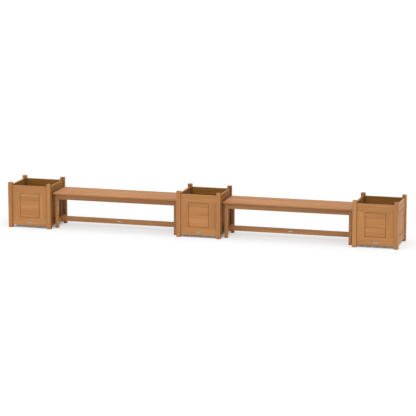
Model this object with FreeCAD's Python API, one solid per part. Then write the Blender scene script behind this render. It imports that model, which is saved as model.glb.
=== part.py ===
import FreeCAD, Part
import os

# Three square planter boxes in a straight row, with a backless bench between each pair.
# Millimetres. X runs along the row, the front faces -Y and Z is up from the ground.
# The origin is on the ground under the middle of the middle planter.

# Planter box, outside sizes over the corner posts
planter_width = 522.0
planter_depth = 522.0
planter_height = 531.0
post_size = 48.0
post_arris = 3.0
post_end_chamfer = 2.5

# Framed sides between the posts
side_setback = 14.0
side_thickness = 20.0
side_ground_gap = 31.0
post_rise = 33.0
top_rail_width = 91.0
bottom_rail_width = 91.0
stile_width = 91.0
side_arris = 1.0

# Fielded panel that floats in grooves round its frame
tongue_thickness = 7.0
tongue_setback = 7.0
tongue_reach = 8.0
groove_clearance = 0.2
groove_spare_depth = 1.0
field_margin = 8.0
field_setback = 0.5
field_arris = 1.5

# Tenons of the planter rails, one above the other where two sides meet in a post
tenon_thickness = 9.0
tenon_length = 30.0
tenon_shoulder = 6.0
tenon_clearance = 0.2

# Turned pegs that lock the tenons of the planter rails
planter_peg_diameter = 8.0
planter_peg_length = 34.0
peg_clearance = 0.1

# Slatted floor of a planter, on bearers along the front and back sides
bearer_width = 30.0
bearer_height = 30.0
bearer_lift = 12.0
bearer_end_gap = 4.0
floor_slat_count = 5
floor_slat_gap = 8.0
floor_slat_thickness = 18.0
floor_edge_gap = 1.0

# Countersunk wood screws
screw_diameter = 4.2
screw_head_diameter = 8.0
screw_head_height = 2.4
screw_clearance = 0.1
floor_screw_length = 38.0
bearer_screw_length = 45.0
batten_screw_length = 35.0
end_rail_screw_length = 75.0

# Plain oval metal plate with two pins
plate_length = 54.0
plate_height = 16.0
plate_thickness = 1.5
planter_plate_height = 65.0
pin_spacing = 36.0
pin_diameter = 2.4
pin_head_diameter = 4.0
pin_head_height = 0.8
pin_length = 12.0

# Bench seat
bench_length = 1500.0
seat_depth = 397.0
seat_height = 426.0
seat_board_count = 4
seat_board_gap = 3.0
seat_board_thickness = 23.0
seat_edge_radius = 8.0
seat_board_arris = 1.0
bench_gap = 11.5

# Bench legs, set in under the seat
leg_width = 35.0
leg_depth = 42.0
leg_end_inset = 11.3
seat_overhang = 34.5
leg_arris = 2.5

# Bench rails
apron_height = 61.5
apron_thickness = 20.0
apron_setback = 1.5
top_end_rail_thickness = 22.0
low_rail_height = 57.0
low_rail_ground_gap = 58.0
low_end_rail_thickness = 25.0
stretcher_thickness = 25.0
bench_rail_arris = 1.5

# Tenons and pegs of the bench
bench_tenon_thickness = 9.0
bench_tenon_shoulder = 8.0
apron_tenon_length = 24.0
end_rail_tenon_length = 16.0
stretcher_tenon_length = 16.0
bench_peg_diameter = 6.0
apron_peg_shoulder = 8.0
apron_peg_drop = 12.0
apron_peg_length = 37.0
end_rail_peg_length = 24.0
stretcher_peg_length = 40.0

# Battens across the seat boards
batten_count = 3
batten_width = 40.0
batten_height = 20.0
batten_tenon_length = 6.0
batten_tenon_height = 12.0

# Places that follow from the sizes above
side_top = planter_height - post_rise
side_bottom = side_ground_gap
stile_bottom = side_bottom + bottom_rail_width
stile_top = side_top - top_rail_width
groove_depth = tongue_reach + groove_spare_depth
bench_pitch = (planter_width + bench_length) / 2 + bench_gap
post_inner_x = planter_width / 2 - post_size
post_inner_y = planter_depth / 2 - post_size
leg_front = seat_depth / 2 - seat_overhang
leg_outer = bench_length / 2 - leg_end_inset
leg_inner = leg_outer - leg_width
leg_top = seat_height - seat_board_thickness
low_rail_top = low_rail_ground_gap + low_rail_height
end_rail_x = leg_outer - leg_width / 2
apron_bottom = leg_top - apron_height


def block(low, high):
    """A box between two corners."""
    size = [b - a for a, b in zip(low, high)]
    return Part.makeBox(*size, FreeCAD.Vector(*low))


def grown(low, high, margins):
    """A box between two corners, moved out by a margin along each axis."""
    wide_low = [a - m for a, m in zip(low, margins)]
    wide_high = [b + m for b, m in zip(high, margins)]
    return block(wide_low, wide_high)


def along(shape, axis):
    """The straight edges of a box that run along one axis, 0 to 2."""
    found = []
    for edge in shape.Edges:
        ends = [vertex.Point for vertex in edge.Vertexes]
        step = ends[1] - ends[0]
        if abs(step[axis]) > 0.999 * step.Length:
            found.append(edge)
    return found


def board(low, high, axis, arris):
    """A board whose long edges are rounded over."""
    plain = block(low, high)
    return plain.makeFillet(arris, along(plain, axis))


def rod(start, direction, diameter, length):
    """A round bar from a point along a direction."""
    return Part.makeCylinder(diameter / 2, length, FreeCAD.Vector(*start), FreeCAD.Vector(*direction))


def screw(start, direction, length, extra=0.0):
    """A countersunk screw from the middle of its head, or its hole where extra is the clearance."""
    origin = FreeCAD.Vector(*start)
    heading = FreeCAD.Vector(*direction)
    head_radius = screw_head_diameter / 2 + extra
    shank_radius = screw_diameter / 2 + extra
    head = Part.makeCone(head_radius, shank_radius, screw_head_height, origin, heading)
    shank = Part.makeCylinder(shank_radius, length + extra, origin, heading)
    return head.fuse(shank).removeSplitter()


def moved(shape, offset):
    """A copy of a shape, shifted."""
    copy = shape.copy()
    copy.translate(FreeCAD.Vector(*offset))
    return copy


def turned(shape, degrees):
    """A copy of a shape, turned about the Z axis."""
    copy = shape.copy()
    copy.rotate(FreeCAD.Vector(0, 0, 0), FreeCAD.Vector(0, 0, 1), degrees)
    return copy


def mirrored(shapes, axis):
    """The shapes and their mirror images across the origin along one axis."""
    normal = FreeCAD.Vector(*[1.0 if i == axis else 0.0 for i in range(3)])
    return shapes + [shape.mirror(FreeCAD.Vector(0, 0, 0), normal) for shape in shapes]


# Each side of a planter is drawn as the front one: x along it, y in from the posts' outer face.
# A side is (turn, distance of that face from the middle, clear span between its posts, tenon row).
sides = [
    (0, planter_depth / 2, 2 * post_inner_x, 1),
    (180, planter_depth / 2, 2 * post_inner_x, 1),
    (90, planter_width / 2, 2 * post_inner_y, 0),
    (270, planter_width / 2, 2 * post_inner_y, 0),
]


def on_side(shape, side):
    """Puts a shape drawn for the front side onto one of the four sides."""
    turn, distance, span, row = side
    return turned(moved(shape, (0, -distance, 0)), turn)


def tenon_rows(low, high):
    """The heights of the two tenon rows in a stretch of a rail's height."""
    height = (high - low - 3 * tenon_shoulder) / 2
    first = low + tenon_shoulder
    second = first + height + tenon_shoulder
    return [(first, first + height), (second, second + height)]


def rail_tenons(side):
    """The corners of each tenon at the right end of a side: bottom rail, then top rail."""
    turn, distance, span, row = side
    front = side_setback + (side_thickness - tenon_thickness) / 2
    solid_ranges = [(side_bottom, stile_bottom - groove_depth), (stile_top + groove_depth, side_top)]
    tenons = []
    for low, high in solid_ranges:
        bottom, top = tenon_rows(low, high)[row]
        corner_low = (span / 2, front, bottom)
        corner_high = (span / 2 + tenon_length, front + tenon_thickness, top)
        tenons.append((corner_low, corner_high))
    return tenons


def rail_peg(side, tenon, extra=0.0):
    """A peg through the middle of a tenon: front and back ones from inside, the others from outside."""
    low, high = tenon
    row = side[3]
    start, heading = [(0.0, 1), (post_size, -1)][row]
    middle = ((low[0] + high[0]) / 2, start, (low[2] + high[2]) / 2)
    return rod(middle, (0, heading, 0), planter_peg_diameter + 2 * extra, planter_peg_length + extra)


def planter_pegs():
    """All the pegs of a planter."""
    pegs = []
    for side in sides:
        right = [rail_peg(side, tenon) for tenon in rail_tenons(side)]
        pegs += [on_side(peg, side) for peg in mirrored(right, 0)]
    return pegs


def post_joints():
    """What the rails' tenons and their pegs need cut out of the four posts."""
    cuts = []
    for side in sides:
        for tenon in rail_tenons(side):
            mortise = grown(*tenon, [tenon_clearance] * 3)
            hole = rail_peg(side, tenon, peg_clearance)
            cuts += [on_side(cut, side) for cut in mirrored([mortise, hole], 0)]
    return cuts


def planter_post(x_sign, y_sign, joints):
    """A corner post: eased edges, chamfered ends, mortises for two sides."""
    low = (post_inner_x, post_inner_y, 0.0)
    high = (planter_width / 2, planter_depth / 2, planter_height)
    plain = board(low, high, 2, post_arris)
    ends = [face for face in plain.Faces if abs(face.normalAt(0, 0).z) > 0.999]
    edges = [edge for face in ends for edge in face.Edges]
    post = plain.makeChamfer(post_end_chamfer, edges)
    if x_sign < 0:
        post = post.mirror(FreeCAD.Vector(0, 0, 0), FreeCAD.Vector(1, 0, 0))
    if y_sign < 0:
        post = post.mirror(FreeCAD.Vector(0, 0, 0), FreeCAD.Vector(0, 1, 0))
    near = [cut for cut in joints if cut.BoundBox.intersect(post.BoundBox)]
    return post.cut(near)


def side_rail(side, which):
    """A rail of a side, 0 the bottom one and 1 the top one, grooved along its inner edge."""
    turn, distance, span, row = side
    z_low, z_high = [(side_bottom, stile_bottom), (stile_top, side_top)][which]
    rail = board((-span / 2, side_setback, z_low), (span / 2, side_setback + side_thickness, z_high), 0, side_arris)
    tenon = rail_tenons(side)[which]
    rail = rail.fuse(mirrored([block(*tenon)], 0)).removeSplitter()
    z_groove = [z_high - groove_depth, z_low][which]
    groove = grown(
        (-span / 2, side_setback + tongue_setback, z_groove),
        (span / 2, side_setback + tongue_setback + tongue_thickness, z_groove + groove_depth),
        (0, groove_clearance, 0),
    )
    holes = mirrored([rail_peg(side, tenon, peg_clearance)], 0)
    return rail.cut([groove] + holes)


def side_stiles(side):
    """The two stiles of a side, tongued into both rails and grooved for the panel."""
    span = side[2]
    inner = span / 2 - stile_width
    back = side_setback + side_thickness
    stile = board((inner, side_setback, stile_bottom), (span / 2, back, stile_top), 2, side_arris)
    tongue = block(
        (inner + groove_depth, side_setback + tongue_setback, stile_bottom - tongue_reach),
        (span / 2, side_setback + tongue_setback + tongue_thickness, stile_top + tongue_reach),
    )
    groove = grown(
        (inner, side_setback + tongue_setback, stile_bottom - tongue_reach),
        (inner + groove_depth, side_setback + tongue_setback + tongue_thickness, stile_top + tongue_reach),
        (0, groove_clearance, 0),
    )
    return mirrored([stile.fuse(tongue).cut(groove).removeSplitter()], 0)


def side_panel(side):
    """The panel of a side: a tongue all round and a raised field with a shadow gap about it."""
    reach = side[2] / 2 - stile_width + tongue_reach
    front = side_setback + tongue_setback
    plate = block(
        (-reach, front, stile_bottom - tongue_reach),
        (reach, front + tongue_thickness, stile_top + tongue_reach),
    )
    inset = tongue_reach + field_margin
    field = block(
        (-reach + inset, side_setback + field_setback, stile_bottom + field_margin),
        (reach - inset, front, stile_top - field_margin),
    )
    outer = [face for face in field.Faces if face.normalAt(0, 0).y < -0.999]
    field = field.makeChamfer(field_arris, outer[0].Edges)
    return plate.fuse(field).removeSplitter()


def floor_level():
    """The top of the bearers, where the floor slats lie."""
    return side_bottom + bearer_lift + bearer_height


def slat_places():
    """The low and high edge of each floor slat across the planter."""
    reach = min(post_inner_x, planter_width / 2 - side_setback - side_thickness) - floor_edge_gap
    width = (2 * reach - (floor_slat_count - 1) * floor_slat_gap) / floor_slat_count
    starts = [-reach + i * (width + floor_slat_gap) for i in range(floor_slat_count)]
    return [(start, start + width) for start in starts]


def bearer_screws(extra=0.0):
    """The screws that hold the front bearer to its rail, each in line with a gap between slats."""
    y_head = -planter_depth / 2 + side_setback + side_thickness + bearer_width
    z_head = side_bottom + bearer_lift + bearer_height / 2
    slats = slat_places()
    places = [(left[1] + right[0]) / 2 for left, right in zip(slats, slats[1:])]
    return [screw((x, y_head, z_head), (0, -1, 0), bearer_screw_length, extra) for x in places]


def floor_screws(extra=0.0):
    """The screws that hold the slats to the front bearer."""
    y_screw = -planter_depth / 2 + side_setback + side_thickness + bearer_width / 2
    top = floor_level() + floor_slat_thickness
    middles = [(low + high) / 2 for low, high in slat_places()]
    return [screw((x, y_screw, top), (0, 0, -1), floor_screw_length, extra) for x in middles]


def floor_bearers():
    """The two battens along the front and back sides that carry the floor."""
    y_low = -planter_depth / 2 + side_setback + side_thickness
    z_low = side_bottom + bearer_lift
    reach = post_inner_x - bearer_end_gap
    bearer = board((-reach, y_low, z_low), (reach, y_low + bearer_width, z_low + bearer_height), 0, side_arris)
    holes = bearer_screws(screw_clearance) + floor_screws(screw_clearance)
    return mirrored([bearer.cut(holes)], 1)


def floor_slats():
    """The floor slats, which leave gaps for water."""
    reach = min(post_inner_y, planter_depth / 2 - side_setback - side_thickness) - floor_edge_gap
    z_low = floor_level()
    holes = mirrored(floor_screws(screw_clearance), 1)
    slats = []
    for low, high in slat_places():
        slat = board((low, -reach, z_low), (high, reach, z_low + floor_slat_thickness), 1, side_arris)
        slats.append(slat.cut(holes))
    return slats


def oval_plate(face_y, z_middle):
    """A blank oval plate that lies on a front face, with its two pins."""
    straight = (plate_length - plate_height) / 2
    middle = block(
        (-straight, face_y - plate_thickness, z_middle - plate_height / 2),
        (straight, face_y, z_middle + plate_height / 2),
    )
    ends = mirrored([rod((straight, face_y - plate_thickness, z_middle), (0, 1, 0), plate_height, plate_thickness)], 0)
    holes = plate_pin_shanks(face_y, z_middle, pin_diameter)
    return middle.fuse(ends).removeSplitter().cut(holes)


def plate_pin_shanks(face_y, z_middle, diameter):
    """The shanks of the two pins, from the outer face of the plate inwards."""
    start = (pin_spacing / 2, face_y - plate_thickness, z_middle)
    return mirrored([rod(start, (0, 1, 0), diameter, pin_length)], 0)


def plate_pins(face_y, z_middle):
    """The two pins that hold a plate."""
    top = face_y - plate_thickness
    head = rod((pin_spacing / 2, top - pin_head_height, z_middle), (0, 1, 0), pin_head_diameter, pin_head_height)
    shanks = plate_pin_shanks(face_y, z_middle, pin_diameter)
    return [a.fuse(b).removeSplitter() for a, b in zip(mirrored([head], 0), shanks)]


def planter_parts():
    """Every piece of one planter round the origin, as lists of solids by name."""
    joints = post_joints()
    face = -planter_depth / 2 + side_setback
    pin_holes = plate_pin_shanks(face, planter_plate_height, pin_diameter)
    bottom_rails = [on_side(side_rail(side, 0), side) for side in sides]
    screw_holes = mirrored(bearer_screws(screw_clearance), 1)
    bottom_rails = [rail.cut(screw_holes + pin_holes) for rail in bottom_rails[:2]] + bottom_rails[2:]
    stiles = [on_side(stile, side) for side in sides for stile in side_stiles(side)]
    screws = mirrored(bearer_screws() + floor_screws(), 1)
    return {
        "post_front_left": [planter_post(-1, -1, joints)],
        "post_front_right": [planter_post(1, -1, joints)],
        "post_back_left": [planter_post(-1, 1, joints)],
        "post_back_right": [planter_post(1, 1, joints)],
        "top_rails": [on_side(side_rail(side, 1), side) for side in sides],
        "bottom_rails": bottom_rails,
        "stiles": stiles,
        "panels": [on_side(side_panel(side), side) for side in sides],
        "floor_bearers": floor_bearers(),
        "floor_slats": floor_slats(),
        "pegs": planter_pegs(),
        "screws": screws,
        "plate": [oval_plate(face, planter_plate_height)] + plate_pins(face, planter_plate_height),
    }


# Each joint of a bench is drawn at its front right corner and mirrored to the others.


def apron_tenon():
    """The tenon of the front apron in the front right leg."""
    front = -leg_front + apron_setback + (apron_thickness - bench_tenon_thickness) / 2
    low = (leg_inner, front, apron_bottom + bench_tenon_shoulder)
    high = (leg_inner + apron_tenon_length, front + bench_tenon_thickness, leg_top - bench_tenon_shoulder)
    return low, high


def end_rail_tenon(z_low, z_high):
    """The tenon of a right end rail in the front right leg."""
    back = -leg_front + leg_depth
    side = end_rail_x - bench_tenon_thickness / 2
    low = (side, back - end_rail_tenon_length, z_low + bench_tenon_shoulder)
    high = (side + bench_tenon_thickness, back, z_high - bench_tenon_shoulder)
    return low, high


def stretcher_tenon():
    """The tenon of the stretcher in the right lower end rail."""
    face = end_rail_x - low_end_rail_thickness / 2
    half = bench_tenon_thickness / 2
    low = (face, -half, low_rail_ground_gap + bench_tenon_shoulder)
    high = (face + stretcher_tenon_length, half, low_rail_top - bench_tenon_shoulder)
    return low, high


def leg_tenons():
    """The three tenons in the front right leg: apron, upper end rail, lower end rail."""
    return [apron_tenon(), end_rail_tenon(apron_bottom, leg_top), end_rail_tenon(low_rail_ground_gap, low_rail_top)]


def apron_peg(extra=0.0):
    """The peg of the apron's tenon, from the back of the front right leg."""
    low, high = apron_tenon()
    start = (leg_inner + apron_peg_shoulder, -leg_front + leg_depth, (low[2] + high[2]) / 2 - apron_peg_drop)
    return rod(start, (0, -1, 0), bench_peg_diameter + 2 * extra, apron_peg_length + extra)


def end_rail_peg(z_low, z_high, extra=0.0):
    """The peg of an end rail's tenon, from the outer end of the front right leg."""
    low, high = end_rail_tenon(z_low, z_high)
    start = (leg_outer, (low[1] + high[1]) / 2, (low[2] + high[2]) / 2)
    return rod(start, (-1, 0, 0), bench_peg_diameter + 2 * extra, end_rail_peg_length + extra)


def leg_pegs(extra=0.0):
    """The three pegs of the front right leg: apron, upper end rail, lower end rail."""
    upper = end_rail_peg(apron_bottom, leg_top, extra)
    lower = end_rail_peg(low_rail_ground_gap, low_rail_top, extra)
    return [apron_peg(extra), upper, lower]


def stretcher_peg(extra=0.0):
    """The peg of the stretcher's right tenon, from below."""
    low, high = stretcher_tenon()
    start = ((low[0] + high[0]) / 2, 0.0, low_rail_ground_gap)
    return rod(start, (0, 0, 1), bench_peg_diameter + 2 * extra, stretcher_peg_length + extra)


def bench_legs():
    """The four legs, square and straight."""
    low = (leg_inner, -leg_front, 0.0)
    high = (leg_outer, -leg_front + leg_depth, leg_top)
    leg = board(low, high, 2, leg_arris)
    mortises = [grown(*tenon, [tenon_clearance] * 3) for tenon in leg_tenons()]
    leg = leg.cut(mortises + leg_pegs(peg_clearance))
    return mirrored(mirrored([leg], 0), 1)


def batten_places():
    """The middle of each batten along the bench."""
    pitch = 2 * leg_inner / (batten_count + 1)
    return [-leg_inner + (i + 1) * pitch for i in range(batten_count)]


def batten_tenons(extra=0.0):
    """The stub tenons of the battens in the front apron."""
    back = -leg_front + apron_setback + apron_thickness
    z_low = leg_top - (batten_height + batten_tenon_height) / 2
    half = batten_width / 2
    tenons = []
    for x in batten_places():
        low = (x - half, back - batten_tenon_length, z_low)
        high = (x + half, back, z_low + batten_tenon_height)
        tenons.append(grown(low, high, [extra] * 3))
    return tenons


def aprons():
    """The front and back aprons between the legs."""
    front = -leg_front + apron_setback
    body = board((-leg_inner, front, apron_bottom), (leg_inner, front + apron_thickness, leg_top), 0, bench_rail_arris)
    apron = body.fuse(mirrored([block(*apron_tenon())], 0)).removeSplitter()
    holes = mirrored([apron_peg(peg_clearance)], 0)
    return mirrored([apron.cut(holes + batten_tenons(tenon_clearance))], 1)


def end_rail(thickness, z_low, z_high):
    """An end rail between the front and back legs at the right end."""
    reach = leg_front - leg_depth
    half = thickness / 2
    body = board((end_rail_x - half, -reach, z_low), (end_rail_x + half, reach, z_high), 1, bench_rail_arris)
    rail = body.fuse(mirrored([block(*end_rail_tenon(z_low, z_high))], 1)).removeSplitter()
    return rail.cut(mirrored([end_rail_peg(z_low, z_high, peg_clearance)], 1))


def top_end_rails():
    """The rails under the ends of the seat."""
    rail = end_rail(top_end_rail_thickness, apron_bottom, leg_top)
    return mirrored([rail.cut(end_rail_screws(screw_clearance))], 0)


def low_end_rails():
    """The rails low down between the legs, mortised for the stretcher."""
    rail = end_rail(low_end_rail_thickness, low_rail_ground_gap, low_rail_top)
    mortise = grown(*stretcher_tenon(), [tenon_clearance] * 3)
    return mirrored([rail.cut([mortise, stretcher_peg(peg_clearance)])], 0)


def stretcher():
    """The long rail between the lower end rails."""
    reach = end_rail_x - low_end_rail_thickness / 2
    half = stretcher_thickness / 2
    body = board((-reach, -half, low_rail_ground_gap), (reach, half, low_rail_top), 0, bench_rail_arris)
    rail = body.fuse(mirrored([block(*stretcher_tenon())], 0)).removeSplitter()
    z_middle = (low_rail_ground_gap + low_rail_top) / 2
    pin_holes = plate_pin_shanks(-half, z_middle, pin_diameter)
    return rail.cut(mirrored([stretcher_peg(peg_clearance)], 0) + pin_holes)


def seat_board_places():
    """The front and back edge of each seat board."""
    width = (seat_depth - (seat_board_count - 1) * seat_board_gap) / seat_board_count
    starts = [-seat_depth / 2 + i * (width + seat_board_gap) for i in range(seat_board_count)]
    return [(start, start + width) for start in starts]


def screws_under_boards(x, z_head, y_reach, length, extra):
    """One screw up into each seat board, midway along the stretch of board over a rail or batten."""
    screws = []
    for low, high in seat_board_places():
        y = (max(low, -y_reach) + min(high, y_reach)) / 2
        screws.append(screw((x, y, z_head), (0, 0, 1), length, extra))
    return screws


def batten_screws(extra=0.0):
    """The screws that come up through the battens."""
    reach = leg_front - apron_setback - apron_thickness
    z_head = leg_top - batten_height
    screws = []
    for x in batten_places():
        screws += screws_under_boards(x, z_head, reach, batten_screw_length, extra)
    return screws


def end_rail_screws(extra=0.0):
    """The long screws that come up through the right top end rail."""
    reach = leg_front - leg_depth
    return screws_under_boards(end_rail_x, apron_bottom, reach, end_rail_screw_length, extra)


def seat_outline(plank):
    """The level edges of a board that lie on the outline of the seat."""
    outline = []
    for edge in plank.Edges:
        at_end = abs(abs(edge.CenterOfMass.x) - bench_length / 2) < 0.001
        at_side = abs(abs(edge.CenterOfMass.y) - seat_depth / 2) < 0.001
        level = edge.BoundBox.ZLength < 0.001
        if level and (at_end or at_side):
            outline.append(edge)
    return outline


def seat_boards():
    """The seat boards: rounded where they form the outline of the seat, eased where two boards meet."""
    half = bench_length / 2
    holes = batten_screws(screw_clearance) + mirrored(end_rail_screws(screw_clearance), 0)
    boards = []
    for low, high in seat_board_places():
        plank = block((-half, low, leg_top), (half, high, seat_height))
        outline = seat_outline(plank)
        inner = [edge for edge in along(plank, 0) if not any(edge.isSame(other) for other in outline)]
        eased = plank.makeChamfer(seat_board_arris, inner)
        boards.append(eased.makeFillet(seat_edge_radius, seat_outline(eased)).cut(holes))
    return boards


def seat_battens():
    """The battens under the seat boards, between the aprons."""
    reach = leg_front - apron_setback - apron_thickness
    half = batten_width / 2
    battens = []
    for x, tenon in zip(batten_places(), batten_tenons()):
        body = block((x - half, -reach, leg_top - batten_height), (x + half, reach, leg_top))
        batten = body.fuse(mirrored([tenon], 1)).removeSplitter()
        battens.append(batten.cut(batten_screws(screw_clearance)))
    return battens


def bench_pegs():
    """All the pegs of a bench."""
    return mirrored(mirrored(leg_pegs(), 0), 1) + mirrored([stretcher_peg()], 0)


def bench_parts():
    """Every piece of one bench round the origin, as lists of solids by name."""
    face = -stretcher_thickness / 2
    z_middle = (low_rail_ground_gap + low_rail_top) / 2
    return {
        "seat_boards": seat_boards(),
        "seat_battens": seat_battens(),
        "aprons": aprons(),
        "legs": bench_legs(),
        "top_end_rails": top_end_rails(),
        "low_end_rails": low_end_rails(),
        "stretcher": [stretcher()],
        "pegs": bench_pegs(),
        "screws": batten_screws() + mirrored(end_rail_screws(), 0),
        "plate": [oval_plate(face, z_middle)] + plate_pins(face, z_middle),
    }


def write_parts(unit, parts, x_offset):
    """Writes one file for each named piece of a planter or bench."""
    for name, solids in parts.items():
        placed = [moved(solid, (x_offset, 0, 0)) for solid in solids]
        shape = placed[0] if len(placed) == 1 else Part.makeCompound(placed)
        shape.exportStep(f"parts/{unit}_{name}.step")


os.makedirs("parts", exist_ok=True)
planter = planter_parts()
bench = bench_parts()
for unit, place in [("left_planter", -2), ("middle_planter", 0), ("right_planter", 2)]:
    write_parts(unit, planter, place * bench_pitch)
for unit, place in [("left_bench", -1), ("right_bench", 1)]:
    write_parts(unit, bench, place * bench_pitch)
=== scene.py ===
import math

import bmesh
import bpy
from mathutils import Euler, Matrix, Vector


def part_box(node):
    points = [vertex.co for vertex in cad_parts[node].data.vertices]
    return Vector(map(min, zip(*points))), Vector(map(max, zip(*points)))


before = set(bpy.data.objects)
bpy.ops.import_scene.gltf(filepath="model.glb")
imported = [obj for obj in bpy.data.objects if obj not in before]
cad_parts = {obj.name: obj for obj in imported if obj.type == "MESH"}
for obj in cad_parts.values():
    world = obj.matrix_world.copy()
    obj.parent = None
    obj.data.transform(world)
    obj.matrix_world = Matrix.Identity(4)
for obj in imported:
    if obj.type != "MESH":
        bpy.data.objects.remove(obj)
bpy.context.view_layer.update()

# Where the row was photographed from, in metres and degrees.
camera_place = (6.2005, -21.9523, 4.8300)
camera_turn_left = 15.6672
camera_tip_down = 11.2304
camera_roll = 0.0079
camera_lens = 175.0690
camera_sensor = 36.0
camera_reach = 400.0

# The studio: an even sky, and a wide soft key light from above and a little from the front.
sky_strength = 0.64
key_strength = 1.8
key_spread = 85.0
key_from = (0.06, -0.33, 1.0)
# The floor: what it throws back on the row, how it looks under the planters and in the open, and how
# far inside and outside the panelled sides, in metres, the one look passes into the other.
floor_bounce = [0.8, 0.8, 0.8, 1.0]
covered_floor = [1.18, 1.28, 1.34, 1.0]
covered_lift = 0.12
open_floor = [0.37, 0.38, 0.388, 1.0]
open_lift = 0.58
shade_inside = 0.030
shade_outside = 0.010
floor_reach = 150.0
all_white = [1.0, 1.0, 1.0, 1.0]
all_black = [0.0, 0.0, 0.0, 1.0]

# Places read from the frame, in metres.
middle_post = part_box("middle_planter_post_front_right")
right_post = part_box("right_planter_post_front_right")
pitch = right_post[1].x - middle_post[1].x
post_middle = (middle_post[0].x + middle_post[1].x) / 2
rails_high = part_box("middle_planter_top_rails")[1]
slats_low, slats_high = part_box("middle_planter_floor_slats")
seat_low, seat_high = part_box("right_bench_seat_boards")
legs_low, legs_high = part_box("right_bench_legs")
battens_low, battens_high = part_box("right_bench_seat_battens")
bench_middle = pitch / 2

# Sizes of pieces that their node's box doesn't show, in metres.
side_thickness = 0.020
stile_width = 0.091
slat_count = 5
slat_gap = 0.008
seat_board_count = 4
seat_board_gap = 0.003
batten_count = 3
batten_width = 0.040
leg_width = 0.035
leg_depth = 0.042

side_middle = rails_high.y - side_thickness / 2
stile_middle = middle_post[0].x - stile_width / 2
slat_step = (slats_high.x - slats_low.x + slat_gap) / slat_count
seat_step = (seat_high.y - seat_low.y + seat_board_gap) / seat_board_count
batten_step = (battens_high.x - battens_low.x - batten_width) / (batten_count - 1)
leg_middle_x = legs_high.x - bench_middle - leg_width / 2
leg_middle_y = legs_high.y - leg_depth / 2


class Value:
    """One output of a material's node. Sums with it add Math nodes."""

    def __init__(self, finish, socket):
        self.finish = finish
        self.socket = socket

    def math(self, operation, *others):
        return self.finish.node("ShaderNodeMath", {"operation": operation}, [self, *others])

    def __add__(self, other):
        return self.math("ADD", other)

    def __sub__(self, other):
        return self.math("SUBTRACT", other)

    def __mul__(self, other):
        return self.math("MULTIPLY", other)

    def __truediv__(self, other):
        return self.math("DIVIDE", other)

    def __pow__(self, other):
        return self.math("POWER", other)

    def __gt__(self, other):
        return self.math("GREATER_THAN", other)

    def __lt__(self, other):
        return self.math("LESS_THAN", other)

    def __neg__(self):
        return self.math("MULTIPLY", -1.0)

    def __abs__(self):
        return self.math("ABSOLUTE")

    def __radd__(self, other):
        return self + other

    def __rmul__(self, other):
        return self * other

    def __rsub__(self, other):
        return -self + other

    def __rtruediv__(self, other):
        return self ** -1.0 * other


class Finish:
    """A material with one Principled shader, and the ways to add nodes to it."""

    def __init__(self, name):
        self.material = bpy.data.materials.new(name)
        self.material.use_nodes = True
        self.tree = self.material.node_tree
        self.shader = self.tree.nodes["Principled BSDF"]

    def connect(self, value, socket):
        if isinstance(value, Value):
            self.tree.links.new(value.socket, socket)
        else:
            socket.default_value = value

    def node(self, kind, settings=None, inputs=(), output=0):
        """Adds a node: its settings first, then the values or links of its sockets, by place or by name."""
        made = self.tree.nodes.new(kind)
        for name, value in (settings or {}).items():
            if name == "stops":
                self.set_stops(made.color_ramp, value)
            else:
                setattr(made, name, value)
        pairs = inputs.items() if isinstance(inputs, dict) else enumerate(inputs)
        for key, value in pairs:
            named = {socket.identifier: socket for socket in made.inputs}
            socket = made.inputs[key] if isinstance(key, int) else named[key]
            self.connect(value, socket)
        return Value(self, made.outputs[output])

    @staticmethod
    def set_stops(ramp, stops):
        while len(ramp.elements) < len(stops):
            ramp.elements.new(1.0)
        for element, (place, colour) in zip(ramp.elements, stops):
            element.position = place
            element.color = colour

    def set(self, **sockets):
        """Sets the shader's sockets, with spaces written as underscores."""
        for name, value in sockets.items():
            self.connect(value, self.shader.inputs[name.replace("_", " ")])

    def place(self):
        """The x, y and z of the point, in the frame."""
        return self.split(self.node("ShaderNodeTexCoord", output=3))

    def facing(self):
        """The x, y and z of the surface's normal."""
        return self.split(self.node("ShaderNodeTexCoord", output=1))

    def split(self, vector):
        return [self.node("ShaderNodeSeparateXYZ", inputs=[vector], output=i) for i in range(3)]

    def join(self, x, y, z):
        return self.node("ShaderNodeCombineXYZ", inputs=[x, y, z])

    def stretched(self, vector, size):
        """The vector, counted in grains of a size along each of its three ways."""
        factors = [1 / length for length in size]
        return self.node("ShaderNodeVectorMath", {"operation": "MULTIPLY"}, [vector, factors])

    def noise(self, vector, size, detail=2.0, output=0):
        grains = self.stretched(vector, size)
        inputs = {"Vector": grains, "Scale": 1.0, "Detail": detail, "Roughness": 0.55}
        return self.node("ShaderNodeTexNoise", {"noise_dimensions": "3D"}, inputs, output)

    def blend(self, factor, first, second, how="MIX"):
        settings = {"data_type": "RGBA", "blend_type": how}
        inputs = {"Factor_Float": factor, "A_Color": first, "B_Color": second}
        return self.node("ShaderNodeMix", settings, inputs, output=2)

    def pick(self, factor, first, second):
        inputs = {"Factor_Float": factor, "A_Float": first, "B_Float": second}
        return self.node("ShaderNodeMix", {"data_type": "FLOAT"}, inputs)

    def ramp(self, factor, stops):
        return self.node("ShaderNodeValToRGB", {"stops": stops}, [factor])

    def smooth(self, value, low, high):
        """0 below low, 1 above high and a smooth rise between."""
        settings = {"interpolation_type": "SMOOTHSTEP"}
        return self.node("ShaderNodeMapRange", settings, {"Value": value, "From Min": low, "From Max": high})


def linear(red, green, blue):
    """A colour as screens show it, 0 to 255, as the light that a material gives back."""
    shares = [channel / 255 for channel in (red, green, blue)]
    return [s / 12.92 if s <= 0.04045 else ((s + 0.055) / 1.055) ** 2.4 for s in shares] + [1.0]


# Teak, from its pale early wood to its dark ring lines.
teak_pale = linear(203, 143, 76)
teak_middle = linear(181, 118, 49)
teak_dark = linear(150, 90, 30)
pore_colour = linear(92, 55, 28)
rosy_tint = [1.0, 0.92, 0.90, 1.0]
teak_shine = 0.85
teak_rough = 0.53
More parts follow.
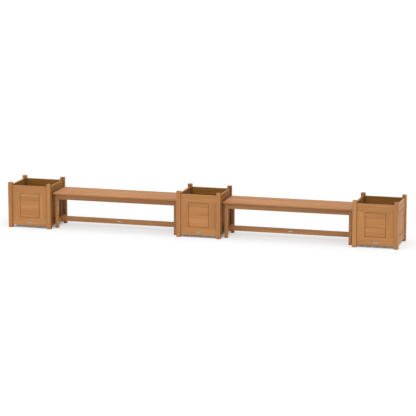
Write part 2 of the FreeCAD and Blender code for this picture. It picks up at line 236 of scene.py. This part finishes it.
# Painted shade: what is left of the colour inside the planters, and on their sides towards the benches.
painted_inside_shade = [0.62, 0.62, 0.03, 1.0]
painted_side_shade = [0.62, 0.58, 0.08, 1.0]
# Painted shade in the corners where the side boards meet the posts, and how much of it.
painted_joint_shade = [0.45, 0.40, 0.35, 1.0]
joint_amount = 0.5
# Darker towards the floor, and how much: full below the first height and gone above the second, in metres.
foot_darkening = [0.80, 0.68, 0.60, 1.0]
foot_amount = 0.5
foot_darkest_below = 0.006
foot_plain_above = 0.030
# How the colour of some pieces differs from the rest, in red, green and blue.
plain_shade = (1.0, 1.0, 1.0)
panel_shade = (1.04, 1.04, 1.06)
# The seat's extra blue is painted sheen, the pale gleam its top shows at a grazing view.
seat_shade = (0.99, 0.99, 1.20)
# Darker on the bench's legs, end rails and stretcher, all under the seat.
frame_shade = (0.88, 0.88, 0.85)
# The aprons darker still, with painted shade from the seat's overhang.
apron_shade = (0.79, 0.80, 0.76)
millimetres = 1000.0
ring_spacing = 6.0
heart_nearest = 50.0
heart_spread = 70.0
heart_swing = 2.2
# How large the grains of each pattern are along, through and across the board, in millimetres.
bend_grain = (900.0, 160.0, 160.0)
ripple_grain = (240.0, 16.0, 16.0)
band_grain = (1300.0, 38.0, 38.0)
streak_grain = (700.0, 13.0, 13.0)
line_grain = (260.0, 4.5, 4.5)
fibre_grain = (95.0, 1.3, 1.3)
pore_grain = (8.0, 0.55, 0.55)
rosy_grain = (900.0, 24.0, 24.0)
brushed_grain = (12.0, 0.4, 0.4)
# What a board's number grows by from one unit to the next, and then by its place in the unit.
side_numbers = (31.0, 7.0, 3.0)
stile_number = 1.37
post_numbers = (19.0, 3.0, 1.3)
leg_numbers = (27.0, 9.0, 1.1)
lengthwise_numbers = (11.0, 2.7)
crosswise_numbers = (13.0, 3.7)


def teak(name, lie, shade=plain_shade, planter=False):
    """A teak finish. lie gives the ways along, through and across a board, its end and its number."""
    wood = Finish(name)
    place = wood.place()
    along, through, across, end, board = lie(wood, *place, *wood.facing())
    grain = wood.join(along * millimetres, through * millimetres, across * millimetres)
    lot = wood.node("ShaderNodeTexWhiteNoise", {"noise_dimensions": "1D"}, {"W": board}, output=1)
    chance = wood.split(lot)
    shift = wood.node("ShaderNodeVectorMath", {"operation": "SCALE"}, {"Vector": lot, "Scale": 4000.0})
    spot = wood.node("ShaderNodeVectorMath", {"operation": "ADD"}, [grain, shift])

    # Growth rings round a heart that lies outside the board, and wanders along it.
    swing = (chance[0] - 0.5) * heart_swing
    heart = heart_nearest + chance[1] * heart_spread
    bend = wood.split(wood.noise(spot, bend_grain, 1.0, output=1))
    ripple = wood.noise(spot, ripple_grain, 2.0) - 0.5
    from_heart = through * millimetres + swing.math("COSINE") * heart + (bend[0] - 0.5) * 40.0
    beside_heart = across * millimetres + swing.math("SINE") * heart + (bend[1] - 0.5) * 40.0
    radius = (from_heart ** 2.0 + beside_heart ** 2.0) ** 0.5 + along * 9.0 + ripple * 7.0
    ring = (radius / ring_spacing).math("FRACT")
    late_wood = wood.smooth(ring, 0.35, 0.92) * (1.0 - wood.smooth(ring, 0.93, 1.0))

    # Bands, streaks, thin dark lines, fibres and pores, all drawn out along the board.
    band = wood.noise(spot, band_grain, 1.0)
    streak = wood.noise(spot, streak_grain, 3.0)
    line = wood.smooth(wood.noise(spot, line_grain, 1.0), 0.60, 0.74)
    fibre = wood.noise(spot, fibre_grain, 3.0)
    pore = wood.smooth(wood.noise(spot, pore_grain, 1.0), 0.60, 0.74)

    tone = 0.57 + (chance[2] - 0.5) * 0.15 + (band - 0.5) * 0.9 + (streak - 0.5) * 0.9 + (fibre - 0.5) * 0.4
    tone = tone - late_wood * 0.12 - line * 0.14
    shades = [[c * s for c, s in zip(tint, shade)] + [1.0] for tint in (teak_dark, teak_middle, teak_pale)]
    colour = wood.ramp(tone, list(zip((0.0, 0.5, 1.0), shades)))
    rosy = wood.noise(spot, rosy_grain, 1.0, output=1)
    colour = wood.blend(wood.smooth(wood.split(rosy)[0], 0.35, 0.75) * 0.5, colour, rosy_tint, "MULTIPLY")
    end_grain = abs(end) ** 4.0
    colour = wood.blend(pore * 0.22 + end_grain * 0.20, colour, pore_colour)
    dull = 0.0
    if planter:
        inside, sheltered, joint = planter_painted_shade(wood, *place)
        dull = (inside + sheltered) * 0.3
        # Painted shade inside the planter, on its sides towards a bench and in the corners beside its posts.
        colour = wood.blend(inside, colour, painted_inside_shade, "MULTIPLY")
        colour = wood.blend(sheltered, colour, painted_side_shade, "MULTIPLY")
        colour = wood.blend(joint * joint_amount, colour, painted_joint_shade, "MULTIPLY")
    # Darker towards the floor.
    foot = 1.0 - wood.smooth(place[2], foot_darkest_below, foot_plain_above)
    colour = wood.blend(foot * foot_amount, colour, foot_darkening, "MULTIPLY")
    rough = teak_rough + (fibre - 0.5) * 0.20 + pore * 0.12 + dull
    relief = fibre * 0.6 - late_wood * 0.25 - pore * 0.5
    bump = wood.node("ShaderNodeBump", inputs={"Strength": 0.25, "Distance": 0.0004, "Height": relief})
    wood.set(
        Base_Color=colour,
        Roughness=rough,
        Normal=bump,
        Specular_IOR_Level=teak_shine,
    )
    return wood.material


def planter_number(wood, x):
    """The planter that a point belongs to, -1, 0 or 1, and its x from that planter's middle."""
    number = (x / pitch).math("ROUND")
    return number, x - number * pitch


def bench_number(wood, x):
    """The bench that a point belongs to, -1 or 0, and its x from that bench's middle."""
    number = (x / pitch).math("FLOOR")
    return number, x - (number + 0.5) * pitch


def planter_painted_shade(wood, x, y, z):
    """Where shade is painted on a planter: inside it, on its sides towards a bench, and along its posts'
    joints.
    """
    x_in = planter_number(wood, x)[1]
    out = abs(x_in).math("MAXIMUM", abs(y))
    inside = (out < side_middle - 0.002) * (z < rails_high.z - 0.004)
    beside = (abs(x_in) > abs(y)) * (abs(x) < pitch)
    along_side = abs(x_in).math("MINIMUM", abs(y))
    joint = wood.smooth(along_side, middle_post[0].x - 0.010, middle_post[0].x - 0.001)
    return inside, beside * (out > side_middle + 0.004), joint * (out < rails_high.y + 0.001)


def side_lie(wood, x, y, z, nx, ny, nz):
    """How a planter's side lies: the ways across and through it, its end's facing, and its number."""
    number, x_in = planter_number(wood, x)
    front = abs(y) > abs(x_in)
    width = wood.pick(front, y, x_in)
    depth = wood.pick(front, x_in, y)
    end = wood.pick(front, ny, nx)
    far = depth.math("SIGN")
    through = depth - far * side_middle
    by_planter, by_way, by_side = side_numbers
    board = number * by_planter + front * by_way + far * by_side
    return width, through, end, board


def level_on_side(height, number):
    """The lie of level boards in the planters' sides, round a height."""

    def lie(wood, x, y, z, nx, ny, nz):
        width, through, end, board = side_lie(wood, x, y, z, nx, ny, nz)
        return width, through, z - height, end, board + number

    return lie


def upright_on_side(wood, x, y, z, nx, ny, nz):
    """The lie of the stiles in the planters' sides."""
    width, through, end, board = side_lie(wood, x, y, z, nx, ny, nz)
    hand = width.math("SIGN")
    return z, through, width - hand * stile_middle, nz, board + hand * stile_number


def post_lie(wood, x, y, z, nx, ny, nz):
    number, x_in = planter_number(wood, x)
    hand = x_in.math("SIGN")
    far = y.math("SIGN")
    by_planter, by_hand, by_side = post_numbers
    board = number * by_planter + hand * by_hand + far * by_side
    return z, y - far * post_middle, x_in - hand * post_middle, nz, board


def leg_lie(wood, x, y, z, nx, ny, nz):
    number, x_in = bench_number(wood, x)
    hand = x_in.math("SIGN")
    far = y.math("SIGN")
    by_bench, by_hand, by_side = leg_numbers
    board = number * by_bench + hand * by_hand + far * by_side
    return z, y - far * leg_middle_y, x_in - hand * leg_middle_x, nz, board


def lengthwise(step, start, height, flat, seed):
    """The lie of boards that run along the row round a height, each a step of depth from the next."""

    def lie(wood, x, y, z, nx, ny, nz):
        number, x_in = bench_number(wood, x)
        row = ((y - start) / step).math("FLOOR")
        by_bench, by_row = lengthwise_numbers
        board = number * by_bench + row * by_row + seed
        rise, aside = z - height, y - (row + 0.5) * step - start
        through, across = (rise, aside) if flat else (aside, rise)
        return x_in, through, across, nx, board

    return lie


def crosswise(unit_number, step, height, seed):
    """The lie of boards that run from front to back, each a step along the row from the next."""

    def lie(wood, x, y, z, nx, ny, nz):
        number, x_in = unit_number(wood, x)
        row = (x_in / step).math("ROUND")
        by_unit, by_row = crosswise_numbers
        board = number * by_unit + row * by_row + seed
        return y, x_in - row * step, z - height, ny, board

    return lie


def metal(name, colour, rough):
    finish = Finish(name)
    x, y, z = finish.place()
    spot = finish.join(x * millimetres, y * millimetres, z * millimetres)
    brushed = finish.noise(spot, brushed_grain, 2.0)
    finish.set(
        Base_Color=finish.blend(brushed, [c * 0.85 for c in colour[:3]] + [1.0], colour),
        Metallic=1.0,
        Roughness=rough + (brushed - 0.5) * 0.2,
    )
    return finish.material


def height_of(node):
    low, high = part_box(node)
    return (low.z + high.z) / 2


top_rails = level_on_side(height_of("middle_planter_top_rails"), 7.7)
bottom_rails = level_on_side(height_of("middle_planter_bottom_rails"), 5.1)
panels = level_on_side(height_of("middle_planter_panels"), 0.4)
bearers = level_on_side(height_of("middle_planter_floor_bearers"), 9.2)
slats = crosswise(planter_number, slat_step, height_of("middle_planter_floor_slats"), 0.9)
seat_boards = lengthwise(seat_step, seat_low.y, height_of("right_bench_seat_boards"), True, 5.3)
battens = crosswise(bench_number, batten_step, height_of("right_bench_seat_battens"), 4.1)
aprons = lengthwise(legs_high.y, -legs_high.y, height_of("right_bench_aprons"), False, 3.5)
stretchers = lengthwise(legs_high.y, -legs_high.y / 2, height_of("right_bench_stretcher"), False, 6.8)
top_end_rails = crosswise(bench_number, leg_middle_x, height_of("right_bench_top_end_rails"), 7.7)
low_end_rails = crosswise(bench_number, leg_middle_x, height_of("right_bench_low_end_rails"), 8.8)

finishes = {
    "post": teak("teak_posts", post_lie, planter=True),
    "top_rails": teak("teak_top_rails", top_rails, planter=True),
    "bottom_rails": teak("teak_bottom_rails", bottom_rails, planter=True),
    "stiles": teak("teak_stiles", upright_on_side, planter=True),
    "panels": teak("teak_panels", panels, panel_shade, True),
    "floor_bearers": teak("teak_bearers", bearers, planter=True),
    "floor_slats": teak("teak_slats", slats, planter=True),
    "seat_boards": teak("teak_seat", seat_boards, seat_shade),
    "seat_battens": teak("teak_battens", battens),
    "aprons": teak("teak_aprons", aprons, apron_shade),
    "legs": teak("teak_legs", leg_lie, frame_shade),
    "top_end_rails": teak("teak_top_end_rails", top_end_rails, frame_shade),
    "low_end_rails": teak("teak_low_end_rails", low_end_rails, frame_shade),
    "stretcher": teak("teak_stretcher", stretchers, frame_shade),
    "pegs": teak("teak_pegs", post_lie),
    "screws": metal("steel_screws", linear(190, 190, 188), 0.3),
    "plate": metal("plate_metal", linear(176, 182, 166), 0.35),
}

for name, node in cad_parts.items():
    kind = name.split("_", 2)[2]
    if kind.startswith("post"):
        kind = "post"
    for slot in node.material_slots:
        slot.material = finishes[kind]


def floor():
    """A white floor that keeps the object's shadow, deep under the planters and faint in the open."""
    mesh = bmesh.new()
    bmesh.ops.create_grid(mesh, x_segments=1, y_segments=1, size=floor_reach)
    made = bpy.data.meshes.new("floor")
    mesh.to_mesh(made)
    mesh.free()
    ground = bpy.data.objects.new("floor", made)
    bpy.context.scene.collection.objects.link(ground)
    white = Finish("floor_white")
    seen = white.node("ShaderNodeLightPath")
    for ray in ("Is Glossy Ray", "Is Transmission Ray"):
        seen = seen.math("MAXIMUM", white.node("ShaderNodeLightPath", output=ray))
    x, y = white.place()[:2]
    number = (x / pitch).math("ROUND").math("MINIMUM", 1.0).math("MAXIMUM", -1.0)
    slot_width = (abs(x) < pitch) * (legs_low.x - rails_high.x)
    out = (abs(x - number * pitch) - slot_width).math("MAXIMUM", abs(y))
    in_open = white.smooth(out, rails_high.y - shade_inside, rails_high.y + shade_outside)
    looks = white.blend(in_open, covered_floor, open_floor)
    lift = covered_lift + in_open * (open_lift - covered_lift)
    white.set(
        Base_Color=white.blend(seen, floor_bounce, looks),
        Roughness=1.0,
        Specular_IOR_Level=0.0,
        Emission_Color=white.blend(seen * lift, all_black, all_white),
        Emission_Strength=1.0,
    )
    made.materials.append(white.material)


def studio():
    """An even white sky, and a wide key light."""
    world = bpy.data.worlds.new("studio")
    bpy.context.scene.world = world
    world.use_nodes = True
    back = world.node_tree.nodes["Background"]
    back.inputs["Color"].default_value = all_white
    back.inputs["Strength"].default_value = sky_strength
    lamp = bpy.data.lights.new("key", "SUN")
    lamp.energy = key_strength
    lamp.angle = math.radians(key_spread)
    key = bpy.data.objects.new("key", lamp)
    bpy.context.scene.collection.objects.link(key)
    key.rotation_euler = Vector(key_from).to_track_quat("Z", "Y").to_euler()


def camera():
    lens = bpy.data.cameras.new("camera")
    lens.lens = camera_lens
    lens.sensor_width = camera_sensor
    lens.clip_end = camera_reach
    eye = bpy.data.objects.new("camera", lens)
    bpy.context.scene.collection.objects.link(eye)
    eye.location = camera_place
    tip = math.radians(90.0 - camera_tip_down)
    turn = Euler((tip, 0.0, math.radians(camera_turn_left)), "XYZ").to_matrix()
    roll = Euler((0.0, 0.0, math.radians(camera_roll)), "XYZ").to_matrix()
    eye.rotation_euler = (turn @ roll).to_euler()
    bpy.context.scene.camera = eye


floor()
studio()
camera()
bpy.context.scene.view_settings.view_transform = "Standard"
